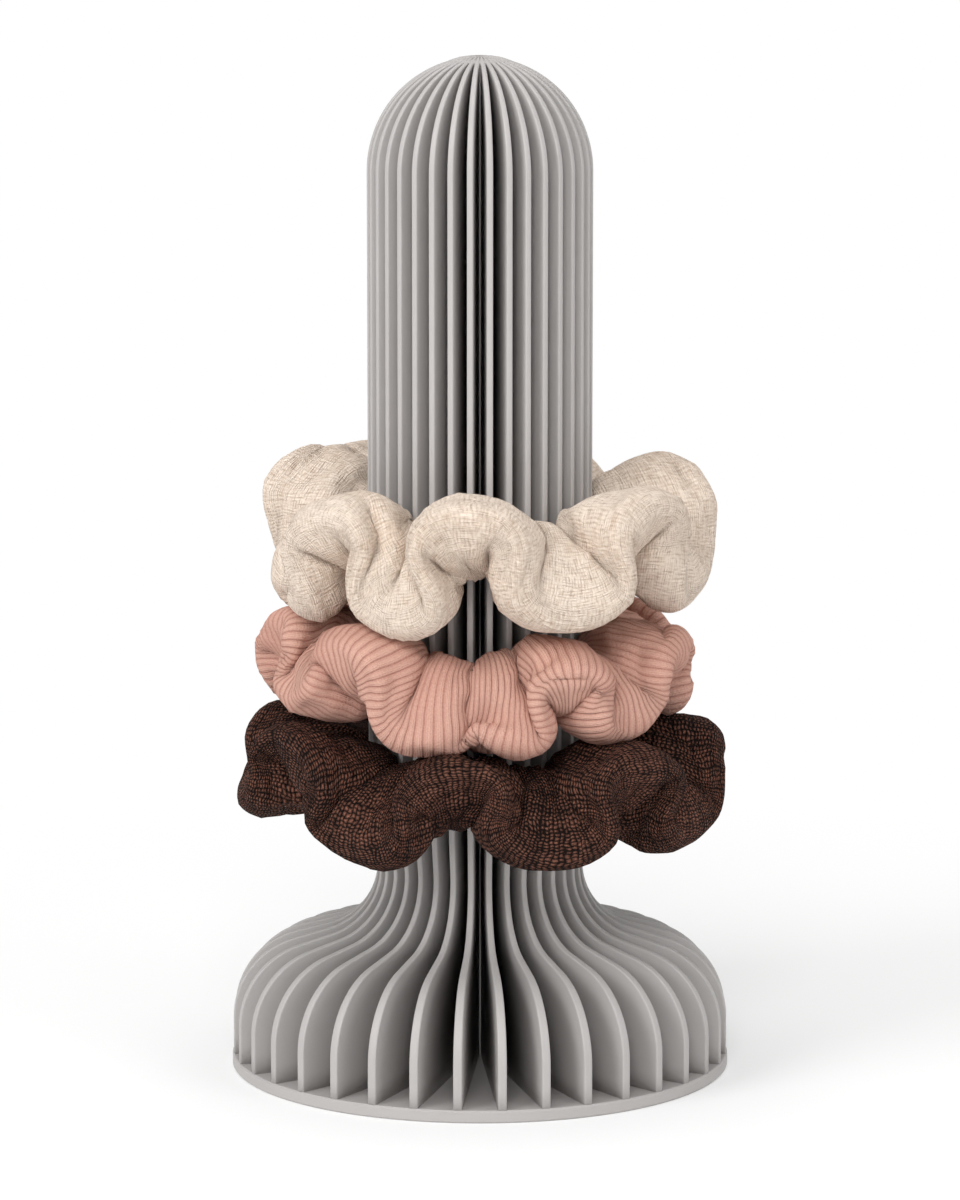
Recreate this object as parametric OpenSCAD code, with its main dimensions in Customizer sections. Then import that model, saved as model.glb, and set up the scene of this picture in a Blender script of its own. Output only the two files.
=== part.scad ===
// Hair tie holder: a domed post of upright fins on a flared foot, loaded with three scrunchies.
// Z points up and the origin is the centre of the underside of the base plate.

/* [Base plate] */
// Diameter of the round base plate
base_d = 120; // [100:1:160]
// Thickness of the base plate
base_t = 3; // [2:0.5:6]
// Bevel on the upper and lower edges of the base plate
base_bevel = 0.4; // [0.2:0.1:0.8]

/* [Fins] */
// Number of upright fins round the core
fin_count = 36; // [20:2:40]
// Distance from the edge of the base plate in to the fins
fin_inset = 0.3; // [0.1:0.1:2]
// Thickness of a fin where it meets the core
fin_root_t = 1.1; // [0.8:0.1:1.2]
// Thickness of a fin at the edge of the foot
fin_edge_t = 2.1; // [1.2:0.1:3]
// Diameter of the round core that the fins stand against
core_d = 15; // [13:0.5:24]

/* [Foot] */
// Height at which the upright flank turns into the shoulder
flank_top = 12; // [6:1:13]
// Radius of the rounded shoulder
shoulder_r = 20; // [12:1:20]
// Height of the waist above the floor
waist_z = 49; // [48:1:56]
// Diameter of the fins at the waist
waist_d = 49.6; // [40:0.4:52]
// Radius of the hollow curve between the shoulder and the waist
hollow_r = 16; // [10:1:16]

/* [Post] */
// Diameter of the post
post_d = 53.6; // [50:0.4:58]
// Height at which the neck has widened to the full post
post_start = 68; // [62:1:90]
// Height of the centre of the round dome
dome_z = 216; // [160:1:300]

/* [Scrunchies] */
// Height of the lowest scrunchie's elastic
brown_z = 72.5; // [66:0.5:90]
// Distance from that elastic up to the middle one
pink_rise = 26; // [26:1:40]
// Distance from the middle elastic up to the top one
cream_rise = 29.5; // [28.5:0.5:50]
// Furthest reach of the lowest scrunchie's fold from the axis
brown_reach = 59; // [50:1:64]
// Furthest reach of the middle scrunchie's fold
pink_reach = 53; // [46:1:58]
// Furthest reach of the top scrunchie's fold
cream_reach = 55; // [46:1:58]
// Height that a fold climbs above its elastic at a full upper bend
fold_rise = 10; // [4:0.5:10]
// Half of the thickness of a cover at a full bend of its fold
fold_t = 10; // [6:0.5:10]
// Clearance between the post and a scrunchie
post_gap = 0.3; // [0.2:0.1:0.6]
// Thickness of the elastic inside each scrunchie
elastic_d = 3.4; // [2:0.2:4]
// Wall of fabric between the post and the elastic
inner_wall = 1.2; // [0.8:0.1:1.6]
// Clearance round the elastic in its channel
elastic_gap = 0.3; // [0.2:0.05:0.5]
// Half of the thickness of a cover beside its elastic, at a bend
gather_t = 11; // [7:0.5:11]
// Half of the thickness of a cover beside its elastic, between two bends
pinch_t = 5.5; // [4:0.5:6]
// Share of its thickness that the outer fold keeps between two bends
run_share = 0.7; // [0.5:0.05:0.75]

/* [Hidden] */
$fn = 96;

core_r = core_d / 2;
foot_r = base_d / 2 - fin_inset;
post_r = post_d / 2;
top_z = dome_z + post_r;
fin_pitch = 360 / fin_count;

// Centres of the two curves that shape the foot, as radius and height
shoulder_c = [foot_r - shoulder_r, flank_top];
hollow_c = [waist_d / 2 + hollow_r, waist_z];
// Direction in which a straight line touches both curves
foot_span = hollow_c - shoulder_c;
foot_turn = atan2(foot_span[1], foot_span[0]) - acos(min(1, (shoulder_r + hollow_r) / norm(foot_span)));
foot_normal = [cos(foot_turn), sin(foot_turn)];
// Direction in which the widening neck leaves the hollow curve
neck_span = [post_r, post_start] - hollow_c;
neck_turn = atan2(neck_span[1], neck_span[0]) + acos(hollow_r / norm(neck_span));
neck_normal = [cos(neck_turn), sin(neck_turn)];

pink_z = brown_z + pink_rise;
cream_z = pink_z + cream_rise;
cover_r = post_r + post_gap;
ring_r = cover_r + inner_wall + elastic_gap + elastic_d / 2;

// Each bend of a scrunchie's outer fold, in turn round the post, seen from above.
// A bend is its angle from the front, its shares of the fold's rise, reach and thickness,
// and how far the run to the next bend leans over.
brown_bends = [
    [-6, 0.6, 0.95, 0.9, 0.9], [22, -0.95, 1, 1, 1.1], [46, 0.75, 0.97, 0.95, 1.1],
    [69, -0.85, 1, 0.95, 1], [93, 0.8, 0.98, 0.95, 1.1], [119, -0.85, 0.98, 1, 1],
    [145, 0.95, 0.98, 0.95, 1.1], [172, -0.85, 1, 1, 1], [198, 0.95, 0.98, 0.95, 1.1],
    [224, -0.85, 0.98, 1, 1], [250, 0.75, 0.98, 0.95, 1.1], [276, -0.85, 1, 1, 1.1],
    [302, 0.7, 0.98, 0.95, 1.1], [331, -0.95, 0.98, 1.05, 1]
];
pink_bends = [
    [8, -0.9, 1, 1.1, 1], [27, 0.65, 0.95, 0.75, 1], [43, -0.6, 0.98, 0.95, 1],
    [66, 0.85, 0.98, 0.9, 1.1], [101, -0.6, 0.98, 0.95, 1], [137, 0.85, 0.98, 0.95, 1],
    [173, -0.85, 0.98, 1, 1], [209, 0.75, 0.98, 0.95, 1], [246, -0.6, 0.98, 1, 1],
    [282, 0.75, 0.98, 0.95, 1], [303, -0.6, 0.98, 0.9, 1], [322, 0.85, 0.98, 0.9, 0.9],
    [344, -0.85, 0.98, 1, 1]
];
cream_bends = [
    [-1, 0.95, 0.98, 0.95, 1], [27, -1.1, 1, 1.15, 1], [54, 0.95, 0.98, 1, 1],
    [80, -0.95, 1, 1, 1.1], [106, 1.3, 0.98, 1, 1], [133, -0.8, 0.98, 1, 1],
    [160, 1.1, 0.98, 1, 1.1], [187, -1, 0.98, 1, 1], [214, 1.1, 0.98, 1, 1],
    [241, 1.3, 0.98, 1, 1], [266, -0.95, 1, 1, 0.9], [291, -0.85, 1, 1, 1],
    [315, 1, 0.96, 0.95, 0.9], [337, -1.1, 1, 1.05, 1]
];
// Stations along each run between two bends, and points round each station
run_steps = 7;
section_points = 12;

function fin_name(i) = str("fin_", i < 10 ? "0" : "", i);
function fin_t(r) = fin_root_t + (fin_edge_t - fin_root_t) * (r - core_r) / (foot_r - core_r);
function wave(a, b, t) = a + (b - a) * (1 - cos(180 * t)) / 2;
function cylindrical(angle, r, z) = [r * sin(angle), -r * cos(angle), z];
function normal(a, b) = cross(a, b) / norm(cross(a, b));

// Moves a point of a cover outwards, where it would come nearer to the post than its clearance
function clear_of_post(p) = let (
    out = max(1, cover_r / norm([p[0], p[1]]))
) [p[0] * out, p[1] * out, p[2]];

// One bend in millimetres, counted on past the last with a full turn added
function bend(bends, reach, k) = let (
    n = len(bends),
    b = bends[(k + n) % n]
) [b[0] + 360 * floor(k / n), b[1] * fold_rise, b[2] * reach, b[3] * fold_t, b[4]];

// At station i: angle at the elastic, angle at the outer fold, height, reach,
// half of the thickness at the fold and half of the thickness beside the elastic
function station(bends, reach, i) = let (
    k = floor(i / run_steps),
    t = i / run_steps - k,
    a = bend(bends, reach, k),
    b = bend(bends, reach, k + 1),
    span = b[0] - a[0],
    nearness = pow(cos(180 * t), 2)
) [
    a[0] + span * t,
    a[0] + span * (t + a[4] / (2 * PI) * sin(360 * t)),
    wave(a[1], b[1], t),
    wave(a[2], b[2], t),
    wave(a[3], b[3], t) * (run_share + (1 - run_share) * nearness),
    pinch_t + (gather_t - pinch_t) * nearness
];

// Point on the cover's middle surface, s from 0 at the post to 1 at the outer fold
function middle(st, s) = let (
    inner = cylindrical(st[0], cover_r, 0),
    bulge = cylindrical((st[0] + st[1]) / 2, cover_r + 0.45 * (st[3] - cover_r), 0.35 * st[2]),
    fold = cylindrical(st[1], st[3], st[2])
) pow(1 - s, 2) * inner + 2 * s * (1 - s) * bulge + s * s * fold;

// Point j of the closed section at station i
function skin_point(bends, reach, i, j) = let (
    st = station(bends, reach, i),
    angle = 360 * j / section_points,
    s = (1 - cos(angle)) / 2,
    along = middle(station(bends, reach, i + 1), s) - middle(station(bends, reach, i - 1), s),
    across = middle(st, min(1, s + 0.01)) - middle(st, max(0, s - 0.01)),
    half = sin(angle) * (st[5] + (st[4] - st[5]) * pow(s, 0.8))
) clear_of_post(middle(st, s) - half * normal(along, across));

module base_plate() {
    r = base_d / 2;
    color("gray")
        rotate_extrude()
            polygon([
                [0, 0], [r - base_bevel, 0], [r, base_bevel],
                [r, base_t - base_bevel], [r - base_bevel, base_t], [0, base_t]
            ]);
}

module core() {
    color("dimgray")
        intersection() {
            translate([0, 0, base_t]) cylinder(r = core_r, h = top_z);
            union() {
                cylinder(r = post_r, h = dome_z);
                translate([0, 0, dome_z]) sphere(r = post_r);
            }
        }
}

// Outline of a fin from the axis outwards: foot, shoulder, hollow neck, post and dome
module fin_outline() {
    intersection() {
        translate([0, base_t]) square([foot_r, top_z]);
        difference() {
            union() {
                square([foot_r, flank_top]);
                translate(shoulder_c) circle(r = shoulder_r);
                polygon([
                    [0, 0], [shoulder_c[0], 0],
                    shoulder_c + shoulder_r * foot_normal, hollow_c - hollow_r * foot_normal,
                    hollow_c + hollow_r * neck_normal, [post_r, post_start],
                    [post_r, dome_z], [0, dome_z]
                ]);
                translate([0, dome_z]) circle(r = post_r);
            }
            translate(hollow_c) circle(r = hollow_r);
        }
    }
}

// One fin, thicker towards its outer edge, cut round to stand against the core
module fin(i) {
    root = fin_t(0) / 2;
    edge = fin_t(foot_r) / 2;
    color("gray")
        rotate([0, 0, fin_pitch * (i - 0.5) - 90])
            difference() {
                intersection() {
                    rotate([90, 0, 0])
                        linear_extrude(height = 2 * fin_edge_t, center = true) fin_outline();
                    linear_extrude(height = top_z)
                        polygon([[0, -root], [foot_r, -edge], [foot_r, edge], [0, root]]);
                }
                cylinder(r = core_r, h = top_z);
            }
}

// Gathered fabric tube with the closed channel that its elastic runs in
module cover(bends, reach, z) {
    count = len(bends) * run_steps;
    skin = [
        for (i = [0 : count - 1], j = [0 : section_points - 1]) skin_point(bends, reach, i, j)
    ];
    faces = [
        for (i = [0 : count - 1], j = [0 : section_points - 1])
            let (
                a = i * section_points,
                b = (i + 1) % count * section_points,
                next = (j + 1) % section_points
            )
            each [[a + j, b + j, b + next], [a + j, b + next, a + next]]
    ];
    translate([0, 0, z])
        difference() {
            polyhedron(points = skin, faces = faces);
            ring(elastic_d / 2 + elastic_gap);
        }
}

module ring(r) {
    rotate_extrude() translate([ring_r, 0]) circle(r = r);
}

module elastic(z) {
    color("ivory") translate([0, 0, z]) ring(elastic_d / 2);
}

module brown_cover() {
    color("saddlebrown") cover(brown_bends, brown_reach, brown_z);
}

module pink_cover() {
    color("rosybrown") cover(pink_bends, pink_reach, pink_z);
}

module cream_cover() {
    color("antiquewhite") cover(cream_bends, cream_reach, cream_z);
}

base_plate();
core();
for (i = [1 : fin_count]) {
    fin(i);
}
brown_cover();
elastic(brown_z);  // brown_elastic
pink_cover();
elastic(pink_z);  // pink_elastic
cream_cover();
elastic(cream_z);  // cream_elastic
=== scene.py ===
import math

import bpy
import numpy as np
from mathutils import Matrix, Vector, noise
from mathutils.bvhtree import BVHTree


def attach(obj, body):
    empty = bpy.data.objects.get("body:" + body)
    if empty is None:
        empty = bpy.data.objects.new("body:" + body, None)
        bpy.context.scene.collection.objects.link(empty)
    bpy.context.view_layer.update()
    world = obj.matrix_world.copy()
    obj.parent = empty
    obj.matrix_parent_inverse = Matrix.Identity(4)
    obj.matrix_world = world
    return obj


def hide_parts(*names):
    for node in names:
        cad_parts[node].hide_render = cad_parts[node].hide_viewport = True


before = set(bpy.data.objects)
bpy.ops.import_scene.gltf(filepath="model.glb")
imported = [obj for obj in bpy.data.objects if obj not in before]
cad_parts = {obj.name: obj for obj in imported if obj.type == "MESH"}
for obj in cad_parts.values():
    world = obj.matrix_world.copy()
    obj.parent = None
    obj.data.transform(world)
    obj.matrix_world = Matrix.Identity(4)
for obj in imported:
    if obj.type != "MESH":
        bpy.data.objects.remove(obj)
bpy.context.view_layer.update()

# The holder is seen on a white table through a long lens, from a little above its middle and
# pointed slightly down. Four square softboxes light it, and the one at the left is the brightest.
CAMERA_PLACE = (0.0, -1.1899, 0.3034)
CAMERA_DIP = math.radians(9.085)
CAMERA_LENS = 150.9
CAMERA_FILM = 36.0
LAMPS_FACE = (0.0, 0.0, 0.12)

scene = bpy.context.scene
scene.view_settings.view_transform = "Standard"

lens = bpy.data.cameras.new("photo_camera")
lens.lens = CAMERA_LENS
lens.sensor_width = CAMERA_FILM
camera = bpy.data.objects.new("photo_camera", lens)
camera.location = CAMERA_PLACE
camera.rotation_euler = (math.pi / 2 - CAMERA_DIP, 0.0, 0.0)
scene.collection.objects.link(camera)
scene.camera = camera


def softbox(name, place, power, size):
    """A square soft lamp that faces the middle of the holder."""
    light = bpy.data.lights.new(name, "AREA")
    light.energy = power
    light.size = size
    lamp = bpy.data.objects.new(name, light)
    lamp.location = place
    way = Vector(LAMPS_FACE) - Vector(place)
    lamp.rotation_euler = way.to_track_quat("-Z", "Y").to_euler()
    scene.collection.objects.link(lamp)


softbox("left_softbox", place=(-1.2, -1.0, 1.0), power=13.0, size=0.8)
softbox("right_softbox", place=(1.3, -1.0, 0.8), power=4.5, size=0.8)
softbox("front_softbox", place=(-0.1, -1.5, 1.1), power=10.0, size=0.6)
softbox("top_softbox", place=(0.0, 0.1, 1.6), power=6.0, size=0.8)

# The table is a sheet of plain white card. Round the holder it keeps the soft shadow, and further
# out the camera sees it burnt out to the same clean white as the air behind it.
TABLE_SIZE = 6.0
TABLE_WHITE = (0.95, 0.95, 0.95, 1.0)
WHITE = (1.0, 1.0, 1.0, 1.0)
SHADOW_R = 0.11
WHITE_R = 0.34
SHADOW_GLARE = 0.25
AIR_LIGHT = 0.50


class Socket:
    """One socket in a node tree. Sums on it add Math nodes."""

    def __init__(self, tree, socket=None):
        self.tree = tree
        self.socket = socket

    def node(self, kind, settings=None, output=0, **values):
        """Any other node: its settings first, then the values or links of its sockets."""
        made = self.tree.nodes.new(kind)
        for name, value in (settings or {}).items():
            setattr(made, name, value)
        for name, value in values.items():
            socket = self.find(made, name)
            if isinstance(value, Socket):
                self.tree.links.new(value.socket, socket)
            else:
                socket.default_value = value
        return Socket(self.tree, made.outputs[output] if made.outputs else None)

    def find(self, made, name):
        """The socket that a word names: Base_Color is Base Color, and _1 is the second."""
        if name[0] == "_":
            return made.inputs[int(name[1:])]
        return next(s for s in made.inputs if s.name == name.replace("_", " ") and s.enabled)

    def maths(self, operation, *values):
        named = {f"_{i}": value for i, value in enumerate(values)}
        return self.node("ShaderNodeMath", {"operation": operation}, **named)

    def __add__(self, other):
        return self.maths("ADD", self, other)

    def __sub__(self, other):
        return self.maths("SUBTRACT", self, other)

    def __rsub__(self, other):
        return self.maths("SUBTRACT", other, self)

    def __mul__(self, other):
        return self.maths("MULTIPLY", self, other)

    def __truediv__(self, other):
        return self.maths("DIVIDE", self, other)

    def __rtruediv__(self, other):
        return self.maths("DIVIDE", other, self)

    def __pow__(self, other):
        return self.maths("POWER", self, other)

    def __rpow__(self, other):
        return self.maths("POWER", other, self)

    __radd__ = __add__
    __rmul__ = __mul__

    def sine(self):
        return self.maths("SINE", self)

    def absolute(self):
        return self.maths("ABSOLUTE", self)

    def mix(self, low, high):
        """A colour between two colours, at this factor."""
        settings = {"data_type": "RGBA"}
        return self.node("ShaderNodeMix", settings, output=2, Factor=self, A=low, B=high)


def new_material(name):
    """An empty material, and the wrapper that builds in its tree."""
    made = bpy.data.materials.new(name)
    made.use_nodes = True
    made.node_tree.nodes.clear()
    return made, Socket(made.node_tree)


card, paint = new_material("white_card")
place = paint.node("ShaderNodeTexCoord", output="Object")
away = paint.node("ShaderNodeVectorMath", {"operation": "LENGTH"}, output="Value", _0=place)
glare = paint.node(
    "ShaderNodeMapRange",
    {"interpolation_type": "SMOOTHSTEP"},
    Value=away, From_Min=SHADOW_R, From_Max=WHITE_R, To_Min=SHADOW_GLARE, To_Max=1.0,
)
seen = paint.node("ShaderNodeLightPath", output="Is Camera Ray")
paper = paint.node("ShaderNodeBsdfDiffuse", Color=TABLE_WHITE)
burnt = paint.node("ShaderNodeEmission", Color=WHITE, Strength=1.0)
sheet = paint.node("ShaderNodeMixShader", _0=glare * seen, _1=paper, _2=burnt)
paint.node("ShaderNodeOutputMaterial", Surface=sheet)

half_table = TABLE_SIZE / 2
corners = [(x * half_table, y * half_table, 0.0) for x, y in ((-1, -1), (1, -1), (1, 1), (-1, 1))]
card_mesh = bpy.data.meshes.new("table_card")
card_mesh.from_pydata(corners, [], [(0, 1, 2, 3)])
card_mesh.materials.append(card)
table_card = bpy.data.objects.new("table_card", card_mesh)
scene.collection.objects.link(table_card)

world = bpy.data.worlds.new("studio_air")
world.use_nodes = True
world.node_tree.nodes.clear()
scene.world = world
air = Socket(world.node_tree)
seen = air.node("ShaderNodeLightPath", output="Is Camera Ray")
light = seen * (1.0 - AIR_LIGHT) + AIR_LIGHT
sky = air.node("ShaderNodeBackground", Color=WHITE, Strength=light)
air.node("ShaderNodeOutputWorld", Surface=sky)

# The foot plate is a round disc with a soft rim, and the core is the domed column that carries the
# fins. The whole holder is one light warm grey plastic, printed in fine layers, so faint level
# lines run round it, with a little unevenness between them.
GREY = (0.46, 0.44, 0.43, 1.0)
GREY_LOW = (0.42, 0.40, 0.39, 1.0)
LAYER_PITCH = 0.0003


def grey_plastic(name):
    made, paint = new_material(name)
    place = paint.node("ShaderNodeTexCoord", output="Object")
    height = paint.node("ShaderNodeSeparateXYZ", output="Z", Vector=place)
    cloud = paint.node("ShaderNodeTexNoise", Vector=place, Scale=60.0, Detail=4.0, Roughness=0.6)
    grain = paint.node("ShaderNodeTexNoise", Vector=place, Scale=1800.0, Detail=2.0)
    layers = (height * (2 * math.pi / LAYER_PITCH)).sine()
    colour = (cloud * 0.7 + grain * 0.3).mix(GREY_LOW, GREY)
    relief = layers * 0.5 + grain
    bump = paint.node("ShaderNodeBump", Height=relief, Strength=0.12, Distance=0.0001)
    shader = paint.node(
        "ShaderNodeBsdfPrincipled", Base_Color=colour, Roughness=cloud * 0.12 + 0.42, Normal=bump
    )
    paint.node("ShaderNodeOutputMaterial", Surface=shader)
    return made


plastic = grey_plastic("printed_grey_plastic")
for name in ("base_plate", "core"):
    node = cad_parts[name]
    node.data.materials.clear()
    node.data.materials.append(plastic)

# The fins stand like the pages of an open book round the core, printed in one with it. Each is a
# thin upright wedge, thicker towards its rounded edge, and the outline of that edge gives the
# holder its foot, waist, post and dome.
FIN_COUNT = 36
FIN_ROOT = 0.0011
FIN_EDGE = 0.0021
FIN_FILL = 0.84
CORE_R = 0.0075
ROOT_R = 0.0068
ROOT_SHARE = 0.9
ROOT_SINK = 0.0012
SINK_R = 0.009
SINK_FADE = 0.003
FOOT_R = 0.0597
APEX_R = 0.0006
EDGE_ROUND = 0.00035
EDGE_SHARE = 0.6
PROUD = 0.0003
PROUD_FADE = 0.002
# The outline from below: flank, rounded shoulder, hollow with its waist, straight post and dome
PLATE_TOP = 0.003
FLANK_TOP = 0.012
SHOULDER_R = 0.020
WAIST_Z = 0.049
WAIST_R = 0.0248
HOLLOW_R = 0.016
POST_R = 0.0268
POST_START = 0.068
DOME_Z = 0.216


def fin_half(r):
    """Half of a fin's thickness at a radius: a wedge, and near the apex a share of its pitch."""
    wedge = FIN_ROOT + (FIN_EDGE - FIN_ROOT) * (r - CORE_R) / (FOOT_R - CORE_R)
    pitch = 2 * math.pi * r / FIN_COUNT
    return np.minimum(wedge, FIN_FILL * pitch) / 2


def arc(centre, radius, start, end, steps):
    angles = np.linspace(start, end, steps + 1)
    return [(centre[0] + radius * math.cos(a), centre[1] + radius * math.sin(a)) for a in angles]


def fin_outline():
    """The outer edge of a fin from the plate to the apex, as radius and height."""
    shoulder = np.array((FOOT_R - SHOULDER_R, FLANK_TOP))
    hollow = np.array((WAIST_R + HOLLOW_R, WAIST_Z))
    span = hollow - shoulder
    turn = math.atan2(span[1], span[0]) - math.acos((SHOULDER_R + HOLLOW_R) / np.hypot(*span))
    neck = np.array((POST_R, POST_START)) - hollow
    leave = math.atan2(neck[1], neck[0]) + math.acos(HOLLOW_R / np.hypot(*neck))
    crown = math.acos(APEX_R / POST_R)
    points = [(FOOT_R, PLATE_TOP), (FOOT_R, (PLATE_TOP + FLANK_TOP) / 2)]
    points += arc(shoulder, SHOULDER_R, 0.0, turn, steps=18)
    points += arc(hollow, HOLLOW_R, turn + math.pi, leave, steps=16)
    points += [(POST_R, z) for z in np.linspace(POST_START, DOME_Z, num=12)]
    points += arc((0.0, DOME_Z), POST_R, 0.0, crown, steps=28)[1:]
    points = np.array(points)
    points[:, 1] += PROUD * np.clip((CORE_R - points[:, 0]) / PROUD_FADE, 0, 1)
    return points


def fin_rows():
    """Closed cross rows of one fin towards +X, with a rounded outer edge, along its outline."""
    outline = fin_outline()
    along = np.gradient(outline, axis=0)
    along /= np.hypot(along[:, 0], along[:, 1])[:, None]
    inward = np.stack([-along[:, 1], along[:, 0]], axis=1)
    half = fin_half(outline[:, 0])
    radius = np.minimum(EDGE_ROUND, half * EDGE_SHARE)
    columns = []
    for side, turns in ((-1, (-90, -60, -30, 0)), (1, (0, 30, 60, 90))):
        for turn in np.radians(turns):
            inset = outline + inward * (radius * (1 - math.cos(turn)))[:, None]
            across = side * (half - radius) + radius * math.sin(turn)
            columns.append(np.stack([inset[:, 0], across, inset[:, 1]], axis=1))
    sunk = ROOT_SINK * np.clip((SINK_R - outline[:, 0]) / SINK_FADE, 0, 1)
    root = np.minimum(ROOT_R, ROOT_SHARE * outline[:, 0])
    for side in (1.0, -1.0):
        columns.append(np.stack([root, side * fin_half(root), outline[:, 1] - sunk], axis=1))
    return np.stack(columns, axis=1)


def skin(name, rows):
    """A closed mesh over rows of points: each row is closed, and the first and last are capped."""
    long_count, round_count = rows.shape[:2]
    index = np.arange(long_count * round_count).reshape(long_count, round_count)
    beside = np.roll(index, -1, axis=1)
    quads = np.stack([index[:-1], beside[:-1], beside[1:], index[1:]], axis=-1).reshape(-1, 4)
    caps = [index[0][::-1].tolist(), index[-1].tolist()]
    mesh = bpy.data.meshes.new(name)
    mesh.from_pydata(rows.reshape(-1, 3).tolist(), [], quads.tolist() + caps)
    made = bpy.data.objects.new(name, mesh)
    scene.collection.objects.link(made)
    return made


def fin_array_tree():
    """Geometry nodes that stand copies of one fin at even steps round the axis."""
    tree = bpy.data.node_groups.new("fin_array", "GeometryNodeTree")
    tree.interface.new_socket("Fin", in_out="INPUT", socket_type="NodeSocketGeometry")
    tree.interface.new_socket("Fin count", in_out="INPUT", socket_type="NodeSocketInt")
    tree.interface.new_socket("Plastic", in_out="INPUT", socket_type="NodeSocketMaterial")
    tree.interface.new_socket("Fins", in_out="OUTPUT", socket_type="NodeSocketGeometry")
    build = Socket(tree)
    one = build.node("NodeGroupInput", output="Fin")
    count = build.node("NodeGroupInput", output="Fin count")
    coat = build.node("NodeGroupInput", output="Plastic")
    points = build.node("GeometryNodeMeshLine", Count=count, Offset=(0.0, 0.0, 0.0))
    number = build.node("GeometryNodeInputIndex")
    turn = build.node("ShaderNodeCombineXYZ", Z=(number + 0.5) * (2 * math.pi / count))
    copies = build.node("GeometryNodeInstanceOnPoints", Points=points, Instance=one, Rotation=turn)
    real = build.node("GeometryNodeRealizeInstances", Geometry=copies)
    dressed = build.node("GeometryNodeSetMaterial", Geometry=real, Material=coat)
    build.node("NodeGroupOutput", Fins=dressed)
    return tree


def plain_copy(source, name):
    """A new object with the evaluated mesh of another, which is then removed."""
    graph = bpy.context.evaluated_depsgraph_get()
    made = bpy.data.meshes.new_from_object(source.evaluated_get(graph), depsgraph=graph)
    bpy.data.objects.remove(source)
    made.name = name
    copy = bpy.data.objects.new(name, made)
    scene.collection.objects.link(copy)
    return copy


fin = skin("fin", fin_rows())
array = fin.modifiers.new("array", "NODES")
array.node_group = fin_array_tree()
sockets = array.node_group.interface.items_tree
inputs = {s.name: s.identifier for s in sockets if s.in_out == "INPUT"}
array[inputs["Fin count"]] = FIN_COUNT
array[inputs["Plastic"]] = plastic
fins = plain_copy(fin, "fins")
for polygon in fins.data.polygons:
    polygon.use_smooth = True
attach(fins, "holder")
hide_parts(*[f"fin_{i:02d}" for i in range(1, FIN_COUNT + 1)])

# The lowest scrunchie is a sewn tube of chunky dark brown terry, gathered on its elastic. Its
# loose outer fold zigzags round the post in fat lobes, and the pile stands in short loops.
# The sizes of a tube's form are in millimetres, and those of its cloth in metres.
MM_PER_METRE = 1000
TUBE_INNER_R = 27.1
RUN_STEPS = 10
SECTION_POINTS = 28
SECTION_TURNS = 2 * math.pi * np.arange(SECTION_POINTS) / SECTION_POINTS
FOLD_RISE = 11.0
FOLD_HALF = 6.0
GATHER_HALF = 8.0
PINCH_HALF = 5.0
RUN_SHARE = 0.7
BULGE_REACH = 0.45
BULGE_RISE = 0.35
TAPER = 0.8
NUDGE = 0.01
ROUND_OFF = 0.20
FULL_REACH_PERCENT = 99.5
GRIP_SHARE = 0.12
SETTLE_FRAMES = 20
BROWN_HEIGHT = 72.5
BROWN_REACH = 57.0
BROWN_EXTENT = (59.0, 55.5, 90.5)
# Angle from the front, shares of the rise, reach and thickness, and lean of each bend of the fold
BROWN_BENDS = (
    (-6, 0.6, 0.95, 0.9, 0.9), (22, -0.95, 1, 1, 1.1), (46, 0.75, 0.97, 0.95, 1.1),
    (69, -0.85, 1, 0.95, 1), (93, 0.8, 0.98, 0.95, 1.1), (119, -0.85, 0.98, 1, 1),
    (145, 0.95, 0.98, 0.95, 1.1), (172, -0.85, 1, 1, 1), (198, 0.95, 0.98, 0.95, 1.1),
    (224, -0.85, 0.98, 1, 1), (250, 0.75, 0.98, 0.95, 1.1), (276, -0.85, 1, 1, 1.1),
    (302, 0.7, 0.98, 0.95, 1.1), (331, -0.95, 0.98, 1.05, 1),
)
STRIP_WIDTH = 0.080
BROWN_LENGTH = 0.46
BROWN_CREASE = 0.0007
BROWN_PLEATS = 72
BROWN_LOOP_DEPTH = 0.0009
BROWN_RELIEF = 0.0012
LOOP_PITCH = 0.0009
LOOPS_IN_CORD = 5
# The terry's colour runs from a painted shade in the hollows between its loops to its brown with a
# painted highlight on the loop tops.
BROWN_GROOVE_SHADE = (0.009, 0.0035, 0.0022, 1.0)
BROWN_LOOP_HIGHLIGHT = (0.275, 0.118, 0.080, 1.0)


def ease(a, b, t):
    return a + (b - a) * (1 - np.cos(np.pi * t)) / 2


def outward_share(turn):
    """Share of the way from the elastic out to the fold, at an angle round the tube's section."""
    return (1 - np.cos(turn)) / 2


def round_post(angle, r, z):
    return np.stack([r * np.sin(angle), -r * np.cos(angle), z], axis=-1)


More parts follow.
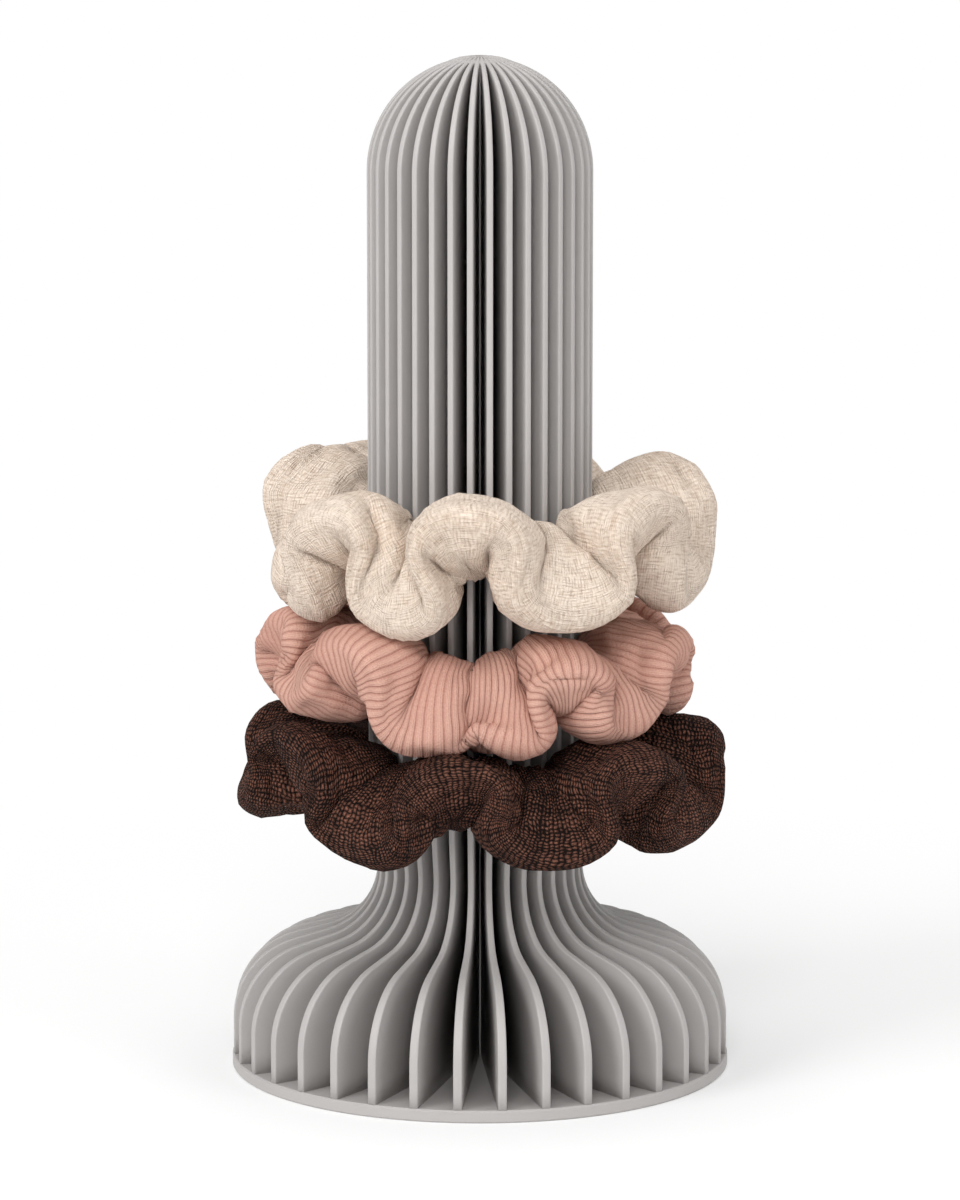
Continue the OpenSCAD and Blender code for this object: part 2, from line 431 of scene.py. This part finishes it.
def gathered_tube(bends, height, full_reach):
    """Points of a gathered tube, from its seam at the back: stations, and points round each."""
    half_turn = len(bends) // 2
    bends = [*bends[half_turn:], *[(b[0] + 360, *b[1:]) for b in bends[:half_turn]]]
    stations = []
    for k, (angle, rise, reach, thick, lean) in enumerate(bends):
        next_angle, next_rise, next_reach, next_thick, _ = bends[(k + 1) % len(bends)]
        next_angle += 360 if next_angle <= angle else 0
        span = next_angle - angle
        for t in np.arange(RUN_STEPS) / RUN_STEPS:
            near = math.cos(math.pi * t) ** 2
            sway = lean / (2 * math.pi) * math.sin(2 * math.pi * t)
            stations.append((
                math.radians(angle + span * t),
                math.radians(angle + span * (t + sway)),
                FOLD_RISE * ease(rise, next_rise, t),
                full_reach * ease(reach, next_reach, t),
                FOLD_HALF * ease(thick, next_thick, t) * (RUN_SHARE + (1 - RUN_SHARE) * near),
                PINCH_HALF + (GATHER_HALF - PINCH_HALF) * near,
            ))
    inner, outer, rises, reaches, fold_half, root_half = np.array(stations).T

    def middle(s):
        """The middle of the tube at a share of the way out: a curve from elastic to fold."""
        s = s[None, :, None]
        start = round_post(inner, np.full(len(inner), TUBE_INNER_R), 0 * inner)[:, None]
        bulge_r = TUBE_INNER_R + BULGE_REACH * (reaches - TUBE_INNER_R)
        bulge = round_post((inner + outer) / 2, bulge_r, BULGE_RISE * rises)[:, None]
        fold = round_post(outer, reaches, rises)[:, None]
        return (1 - s) ** 2 * start + 2 * s * (1 - s) * bulge + s ** 2 * fold

    s = outward_share(SECTION_TURNS)
    points = middle(s)
    across = middle(np.minimum(s + NUDGE, 1)) - middle(np.maximum(s - NUDGE, 0))
    along = np.roll(points, -1, axis=0) - np.roll(points, 1, axis=0)
    normal = np.cross(along, across)
    normal /= np.linalg.norm(normal, axis=-1, keepdims=True) + 1e-12
    half = root_half[:, None] + (fold_half - root_half)[:, None] * s[None] ** TAPER
    points = points - normal * (np.sin(SECTION_TURNS)[None] * half)[..., None]
    points[..., 2] += height
    return off_post(points.reshape(-1, 3)).reshape(points.shape)


def off_post(points):
    """Moves points out from the axis, where they would lie in the post."""
    out = np.maximum(1, TUBE_INNER_R / np.hypot(points[:, 0], points[:, 1]))
    return points * np.stack([out, out, np.ones_like(out)], axis=1)


def mesh_object(name, points, quads, uvs):
    """An object with a smooth quad mesh, from points in metres and a UV pair for each corner."""
    mesh = bpy.data.meshes.new(name)
    mesh.from_pydata(points.tolist(), [], quads.tolist())
    layer = mesh.uv_layers.new(name="cloth")
    layer.data.foreach_set("uv", uvs.reshape(-1).astype(np.float32))
    for polygon in mesh.polygons:
        polygon.use_smooth = True
    made = bpy.data.objects.new(name, mesh)
    scene.collection.objects.link(made)
    return made


def tube_object(name, points):
    """A closed tube over the points, with UVs along the strip and round its section."""
    long_count, round_count = points.shape[:2]
    index = np.arange(long_count * round_count).reshape(long_count, round_count)
    after, above = np.roll(index, -1, axis=0), np.roll(index, -1, axis=1)
    quads = np.stack([index, after, np.roll(after, -1, axis=1), above], axis=-1).reshape(-1, 4)
    u, v = np.meshgrid(np.arange(long_count), np.arange(round_count), indexing="ij")
    u = np.stack([u, u + 1, u + 1, u], axis=-1) / long_count
    v = np.stack([v, v, v + 1, v + 1], axis=-1) / round_count
    points = points.reshape(-1, 3) / MM_PER_METRE
    return mesh_object(name, points, quads, np.stack([u, v], axis=-1))


def arrays(source, levels):
    """Points, quads, corner UVs, normals and point UVs of an object's mesh, subdivided."""
    divide = source.modifiers.new("divide", "SUBSURF")
    divide.levels = divide.render_levels = levels
    graph = bpy.context.evaluated_depsgraph_get()
    mesh = source.evaluated_get(graph).to_mesh()
    points = np.empty((len(mesh.vertices), 3), np.float32)
    normals = np.empty((len(mesh.vertices), 3), np.float32)
    quads = np.empty((len(mesh.polygons), 4), np.int32)
    uvs = np.empty((len(mesh.polygons), 4, 2), np.float32)
    mesh.vertices.foreach_get("co", points.reshape(-1))
    mesh.vertices.foreach_get("normal", normals.reshape(-1))
    mesh.loops.foreach_get("vertex_index", quads.reshape(-1))
    mesh.uv_layers[0].data.foreach_get("uv", uvs.reshape(-1))
    source.modifiers.remove(divide)
    places = np.empty((len(points), 2), np.float32)
    places[quads.reshape(-1)] = uvs.reshape(-1, 2)
    return points, quads, uvs, normals, places


def settle_as_cloth(tube, growth, stiffness):
    """Lets the tube buckle as cloth longer and wider than its place, held at the elastic."""
    held = tube.vertex_groups.new(name="elastic")
    grip = np.clip(1 - outward_share(SECTION_TURNS) / GRIP_SHARE, 0, 1)
    for j in np.flatnonzero(grip):
        ring = range(int(j), len(tube.data.vertices), SECTION_POINTS)
        held.add(list(ring), float(grip[j]), "REPLACE")
    cloth = tube.modifiers.new("cloth", "CLOTH")
    feel = cloth.settings
    feel.quality = 4
    feel.mass = 0.15
    feel.air_damping = 4
    feel.tension_stiffness = feel.compression_stiffness = 12
    feel.shear_stiffness = 5
    feel.bending_stiffness = stiffness
    feel.shrink_min = -growth
    feel.vertex_group_mass = "elastic"
    feel.effector_weights.gravity = 0
    touch = cloth.collision_settings
    touch.use_collision = False
    touch.use_self_collision = True
    touch.self_distance_min = 0.0008
    touch.collision_quality = 2
    cloth.point_cache.frame_start = 1
    cloth.point_cache.frame_end = SETTLE_FRAMES
    for number in range(1, SETTLE_FRAMES + 1):
        scene.frame_set(number)
    graph = bpy.context.evaluated_depsgraph_get()
    settled = bpy.data.meshes.new_from_object(tube.evaluated_get(graph), depsgraph=graph)
    tube.modifiers.remove(cloth)
    tube.data = settled
    scene.frame_set(1)


def fit_extent(tube, reach, low, high):
    """Brings the settled tube to its real reach and height, rounded off towards both faces."""
    points = arrays(tube, 0)[0] * MM_PER_METRE
    r = np.hypot(points[:, 0], points[:, 1])
    full_r = np.percentile(r, FULL_REACH_PERCENT)
    wider = (reach - TUBE_INNER_R) / (full_r - TUBE_INNER_R)
    grown = np.maximum(TUBE_INNER_R, TUBE_INNER_R + (r - TUBE_INNER_R) * wider) / r
    bottom, top = points[:, 2].min(), points[:, 2].max()
    from_middle = np.abs(2 * points[:, 2] - bottom - top) / (top - bottom)
    grown *= 1 - ROUND_OFF * from_middle ** 3 * (1 - TUBE_INNER_R / (r * grown))
    points[:, :2] *= grown[:, None]
    points[:, 2] = low + (points[:, 2] - bottom) * (high - low) / (top - bottom)
    tube.data.vertices.foreach_set("co", (points / MM_PER_METRE).reshape(-1))


def scrunchie(name, bends, height, reach, extent, growth, stiffness):
    """A gathered tube of cloth round the post, settled and brought to its extent."""
    tube = tube_object(name, gathered_tube(bends, height, reach))
    settle_as_cloth(tube, growth, stiffness)
    fit_extent(tube, *extent)
    return tube


def cloth_place(paint, length):
    """Metres along the strip and across it, from the cloth's UVs."""
    cloth = paint.node("ShaderNodeTexCoord", output="UV")
    along = paint.node("ShaderNodeSeparateXYZ", output="X", Vector=cloth)
    across = paint.node("ShaderNodeSeparateXYZ", output="Y", Vector=cloth)
    return along * length, across * STRIP_WIDTH


def spread(along, across, stretch, cross_stretch):
    """Smooth noise on the cloth, with its own number of waves in a metre each way."""
    place = along.node("ShaderNodeCombineXYZ", X=along * stretch, Y=across * cross_stretch)
    return along.node("ShaderNodeTexNoise", Vector=place, Scale=1.0, Detail=2.0)


def finish_cloth(paint, colour, height, depth):
    """A matt woven surface with the given colour, and relief of the given depth."""
    bump = paint.node("ShaderNodeBump", Height=height, Strength=1.0, Distance=depth)
    shader = paint.node(
        "ShaderNodeBsdfPrincipled",
        Base_Color=colour, Roughness=0.95, Specular_IOR_Level=0.15, Normal=bump,
    )
    paint.node("ShaderNodeOutputMaterial", Surface=shader)


def terry_cloth(name):
    made, paint = new_material(name)
    along, across = cloth_place(paint, BROWN_LENGTH)
    wander = spread(along, across, 120.0, 120.0) * 9.0 + spread(along, across, 480.0, 480.0) * 2.2
    cross_wander = spread(across, along, 150.0, 150.0) * 10.0
    column = along * (math.pi / LOOP_PITCH) + wander
    row = across * (math.pi / LOOP_PITCH) + column.sine() * 0.5 + cross_wander
    loops = (column.sine().absolute() * row.sine().absolute()) ** 0.6
    cord = (column / LOOPS_IN_CORD).sine().absolute()
    cross_cord = (row / LOOPS_IN_CORD).sine().absolute()
    cords = (cord * cross_cord) ** 0.3
    tufts = spread(along, across, 1300.0, 1200.0)
    worn = spread(along, across, 60.0, 60.0)
    height = loops * (cords * 0.8 + 0.2) + tufts * 1.3
    # The colour follows the loops' height: painted shade in the hollows between the loops, and
    # painted highlight on their tops and tufts.
    colour = (height * 1.1 + worn * 0.7 - 1.28).mix(BROWN_GROOVE_SHADE, BROWN_LOOP_HIGHLIGHT)
    finish_cloth(paint, colour, height, BROWN_RELIEF)
    return made


brown_terry = terry_cloth("brown_terry")
brown_tube = scrunchie(
    "brown_tube", BROWN_BENDS, BROWN_HEIGHT, BROWN_REACH, BROWN_EXTENT, growth=0.38, stiffness=0.1
)

# The middle scrunchie is a ribbed knit in dusty pink. Its ribs run round the tube, so they fan
# out from the gathers at the elastic to the outer fold.
PINK_HEIGHT = 97.5
PINK_REACH = 51.0
PINK_EXTENT = (53.5, 81.5, 114.0)
PINK_BENDS = (
    (8, -0.9, 1, 1.1, 1), (27, 0.65, 0.95, 0.75, 1), (43, -0.6, 0.98, 0.95, 1),
    (66, 0.85, 0.98, 0.9, 1.1), (101, -0.6, 0.98, 0.95, 1), (137, 0.85, 0.98, 0.95, 1),
    (173, -0.85, 0.98, 1, 1), (209, 0.75, 0.98, 0.95, 1), (246, -0.6, 0.98, 1, 1),
    (282, 0.75, 0.98, 0.95, 1), (303, -0.6, 0.98, 0.9, 1), (322, 0.85, 0.98, 0.9, 0.9),
    (344, -0.85, 0.98, 1, 1),
)
PINK_LENGTH = 0.38
PINK_CREASE = 0.0010
PINK_PLEATS = 64
PINK_RELIEF = 0.00045
RIB_COUNT = 250
STITCH_PITCH = 0.0011
# The dark pink is a painted shade for the grooves between the ribs.
PINK_GROOVE_SHADE = (0.40, 0.160, 0.122, 1.0)
PINK_RIB = (0.68, 0.415, 0.332, 1.0)


def rib_knit(name):
    made, paint = new_material(name)
    along, across = cloth_place(paint, PINK_LENGTH)
    wander = spread(along, across, 110.0, 25.0)
    turn = along * (2 * math.pi * RIB_COUNT / PINK_LENGTH) + wander * 5.0
    rib = (turn.sine() * 0.5 + 0.5) ** 0.27
    wale = (turn * 4.0).sine() * 0.09
    stitch = (across * (2 * math.pi / STITCH_PITCH) + turn.sine() * 1.3).sine() * 0.05
    fading = spread(along, across, 55.0, 25.0)
    fuzz = spread(along, across, 2600.0, 2300.0)
    ridge = rib * (0.25 + fading * 1.1)
    height = ridge + wale + stitch + fuzz * 0.45
    # The colour is darker in the grooves between the ribs, which is painted shade, and the knit's
    # own pink on the ribs.
    colour = (ridge * 0.75 + wale * 0.8 + fuzz * 0.6 - 0.1).mix(PINK_GROOVE_SHADE, PINK_RIB)
    finish_cloth(paint, colour, height, PINK_RELIEF)
    return made


pink_knit = rib_knit("pink_rib_knit")
pink_tube = scrunchie(
    "pink_tube", PINK_BENDS, PINK_HEIGHT, PINK_REACH, PINK_EXTENT, growth=0.3, stiffness=0.2
)

# The top scrunchie is crinkled cotton gauze in warm cream, light enough to puff up. The weave
# shows as a fine broken grid, with small thick and thin threads in it.
CREAM_HEIGHT = 129.0
CREAM_REACH = 52.0
CREAM_EXTENT = (55.5, 111.0, 147.5)
CREAM_BENDS = (
    (-1, 0.95, 0.98, 0.95, 1), (27, -1.1, 1, 1.15, 1), (54, 0.95, 0.98, 1, 1),
    (80, -0.95, 1, 1, 1.1), (106, 1.3, 0.98, 1, 1), (133, -0.8, 0.98, 1, 1),
    (160, 1.1, 0.98, 1, 1.1), (187, -1, 0.98, 1, 1), (214, 1.1, 0.98, 1, 1),
    (241, 1.3, 0.98, 1, 1), (266, -0.95, 1, 1, 0.9), (291, -0.85, 1, 1, 1),
    (315, 1, 0.96, 0.95, 0.9), (337, -1.1, 1, 1.05, 1),
)
CREAM_LENGTH = 0.44
CREAM_CREASE = 0.0011
CREAM_PLEATS = 68
CREAM_RELIEF = 0.0006
THREAD_PITCH = 0.00065
CREAM_SHADE = (0.52, 0.375, 0.275, 1.0)
CREAM_THREAD = (0.90, 0.77, 0.655, 1.0)


def crinkled_gauze(name):
    made, paint = new_material(name)
    along, across = cloth_place(paint, CREAM_LENGTH)
    wander = spread(along, across, 150.0, 150.0) * 11.0
    cross_wander = spread(across, along, 170.0, 150.0) * 11.0
    warp = (along * (math.pi / THREAD_PITCH) + wander).sine().absolute()
    weft = (across * (math.pi / THREAD_PITCH) + cross_wander).sine().absolute()
    grid = (warp * weft) ** 0.5
    slubs = spread(along, across, 300.0, 3000.0) + spread(along + 3.0, across, 2600.0, 350.0)
    patch = spread(along, across, 45.0, 60.0)
    weave = grid * (patch * 0.55 + 0.02) + slubs
    colour = (weave * 1.6 + patch * 0.4 - 1.32).mix(CREAM_SHADE, CREAM_THREAD)
    finish_cloth(paint, colour, weave, CREAM_RELIEF)
    return made


cream_gauze = crinkled_gauze("cream_gauze")
cream_tube = scrunchie(
    "cream_tube", CREAM_BENDS, CREAM_HEIGHT, CREAM_REACH, CREAM_EXTENT, growth=0.42, stiffness=0.05
)

# The three lie on one another round the post, and press each other flat where they touch. The
# cloth of each has sharp creases, and fine pleats where the elastic gathers it.
WALL = 0.0010
SKY_Z = 0.4
GROUND_Z = -0.1
PRESS_TIMES = 2
PRESS_GAP = 0.0012
PRESS_FADE = 0.030
PRESS_ANGLES = np.linspace(0, 2 * math.pi, 180, endpoint=False)
PRESS_RADII = np.linspace(0.0275, 0.064, 36)
CREASE_WAVES = (46, 5)
CREASE_WIDTH = 0.07
CREASE_FADE = 0.6
PLEAT_DEPTH = 0.45
PLEAT_FADE = 0.22
PLEAT_DRIFT = 0.8
DRIFT_WAVES = (20, 3)
DRIFT_SEED = 7
PILE_WAVES = (230, 40)
PILE_SEED = 3


def face_heights(tube, upward):
    """Height of a tube's upper or lower face on a polar grid, and none where it doesn't reach."""
    points, quads = arrays(tube, 1)[:2]
    tree = BVHTree.FromPolygons(points.tolist(), quads.tolist())
    start, way = (SKY_Z, (0, 0, -1)) if upward else (GROUND_Z, (0, 0, 1))
    found = np.full((len(PRESS_ANGLES), len(PRESS_RADII)), np.nan)
    for i, angle in enumerate(PRESS_ANGLES):
        for j, r in enumerate(PRESS_RADII):
            hit = tree.ray_cast((r * math.sin(angle), -r * math.cos(angle), start), way)[0]
            if hit is not None:
                found[i, j] = hit[2]
    return found


def press_apart(lower, upper):
    """Flattens two stacked tubes where they would lie in each other, half of the depth each."""
    top, bottom = face_heights(lower, True), face_heights(upper, False)
    depth = np.nan_to_num(np.clip(top + PRESS_GAP - bottom, 0, None))
    near = [np.roll(depth, (i, j), (0, 1)) for i in (-2, -1, 0, 1, 2) for j in (-1, 0, 1)]
    depth = np.mean([np.max(near, axis=0), depth], axis=0)
    for tube, face, way in ((lower, top, -1), (upper, bottom, 1)):
        points = arrays(tube, 0)[0]
        angle = np.arctan2(points[:, 0], -points[:, 1]) % (2 * math.pi)
        i = (angle / PRESS_ANGLES[1]).astype(int) % len(PRESS_ANGLES)
        r = np.hypot(points[:, 0], points[:, 1])
        j = ((r - PRESS_RADII[0]) / (PRESS_RADII[1] - PRESS_RADII[0])).astype(int)
        j = np.clip(j, 0, len(PRESS_RADII) - 1)
        level = np.nan_to_num(face[i, j], nan=points[:, 2].mean())
        share = np.clip(1 - np.abs(points[:, 2] - level) / PRESS_FADE, 0, 1)
        points[:, 2] += way * depth[i, j] * share / 2
        tube.data.vertices.foreach_set("co", points.reshape(-1))
        tube.data.update()


def torus_noise(places, along, across, seed):
    """Smooth noise over the cloth, with so many waves along the strip and round its section."""
    u, v = 2 * math.pi * places.T
    out = (along + across * np.cos(v)) / (2 * math.pi)
    up = across * np.sin(v) / (2 * math.pi) + seed
    spots = np.stack([out * np.cos(u), out * np.sin(u), up], axis=1)
    return np.array([noise.noise(spot) for spot in spots.tolist()])


def creased(face, depth, pleats, seed):
    """Moves a face's points in by sharp creases, and by fine pleats near the elastic."""
    points, quads, uvs, normals, places = face
    outward = outward_share(2 * math.pi * places[:, 1])
    crease = np.exp(-((torus_noise(places, *CREASE_WAVES, seed) / CREASE_WIDTH) ** 2))
    crease = crease * (1 - CREASE_FADE * outward)
    drift = torus_noise(places, *DRIFT_WAVES, seed + DRIFT_SEED)
    pleat = np.cos(2 * math.pi * (pleats * places[:, 0] + PLEAT_DRIFT * drift))
    pleat = pleat * np.exp(-outward / PLEAT_FADE)
    moved = points - normals * (depth * crease + depth * PLEAT_DEPTH * pleat)[:, None]
    return off_post(moved * MM_PER_METRE) / MM_PER_METRE, quads, uvs, normals, places


def cloth_cover(name, tube, cloth, depth, pleats, seed, pile=0.0):
    """The settled tube as a wall of cloth: its outer face, and an inner face a wall behind it."""
    points, quads, uvs, normals, places = creased(arrays(tube, 2), depth, pleats, seed)
    loops = torus_noise(places, *PILE_WAVES, seed + PILE_SEED)
    points = points + normals * (pile * loops)[:, None]
    lined, back, back_uvs, inward, _ = creased(arrays(tube, 1), depth, pleats, seed)
    both = np.concatenate([points, lined - inward * WALL])
    faces = np.concatenate([quads, back[:, ::-1] + len(points)])
    bpy.data.objects.remove(tube)
    cover = mesh_object(name, both, faces, np.concatenate([uvs, back_uvs[:, ::-1]]))
    cover.data.materials.append(cloth)
    return cover


for _ in range(PRESS_TIMES):
    press_apart(brown_tube, pink_tube)
    press_apart(pink_tube, cream_tube)

brown = cloth_cover(
    "brown_scrunchie", brown_tube, brown_terry,
    depth=BROWN_CREASE, pleats=BROWN_PLEATS, seed=0.0, pile=BROWN_LOOP_DEPTH,
)
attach(brown, "brown")
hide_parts("brown_cover")

pink = cloth_cover(
    "pink_scrunchie", pink_tube, pink_knit, depth=PINK_CREASE, pleats=PINK_PLEATS, seed=20.0
)
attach(pink, "pink")
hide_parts("pink_cover")

cream = cloth_cover(
    "cream_scrunchie", cream_tube, cream_gauze, depth=CREAM_CREASE, pleats=CREAM_PLEATS, seed=40.0
)
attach(cream, "cream")
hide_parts("cream_cover")

# A ring of round braided elastic runs inside each scrunchie and gathers it on the post. It is
# off-white, and the cover hides it.
ELASTIC_WHITE = (0.72, 0.70, 0.64, 1.0)
ELASTIC_SHADE = (0.50, 0.48, 0.42, 1.0)


def braided_elastic(name):
    made, paint = new_material(name)
    place = paint.node("ShaderNodeTexCoord", output="Object")
    braid = paint.node("ShaderNodeTexVoronoi", output="Distance", Vector=place, Scale=1500.0)
    bump = paint.node("ShaderNodeBump", Height=braid, Strength=0.5, Distance=0.0003)
    colour = braid.mix(ELASTIC_WHITE, ELASTIC_SHADE)
    shader = paint.node(
        "ShaderNodeBsdfPrincipled", Base_Color=colour, Roughness=0.8, Normal=bump
    )
    paint.node("ShaderNodeOutputMaterial", Surface=shader)
    return made


elastic = braided_elastic("braided_elastic")
for name in ("brown_elastic", "pink_elastic", "cream_elastic"):
    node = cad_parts[name]
    node.data.materials.clear()
    node.data.materials.append(elastic)
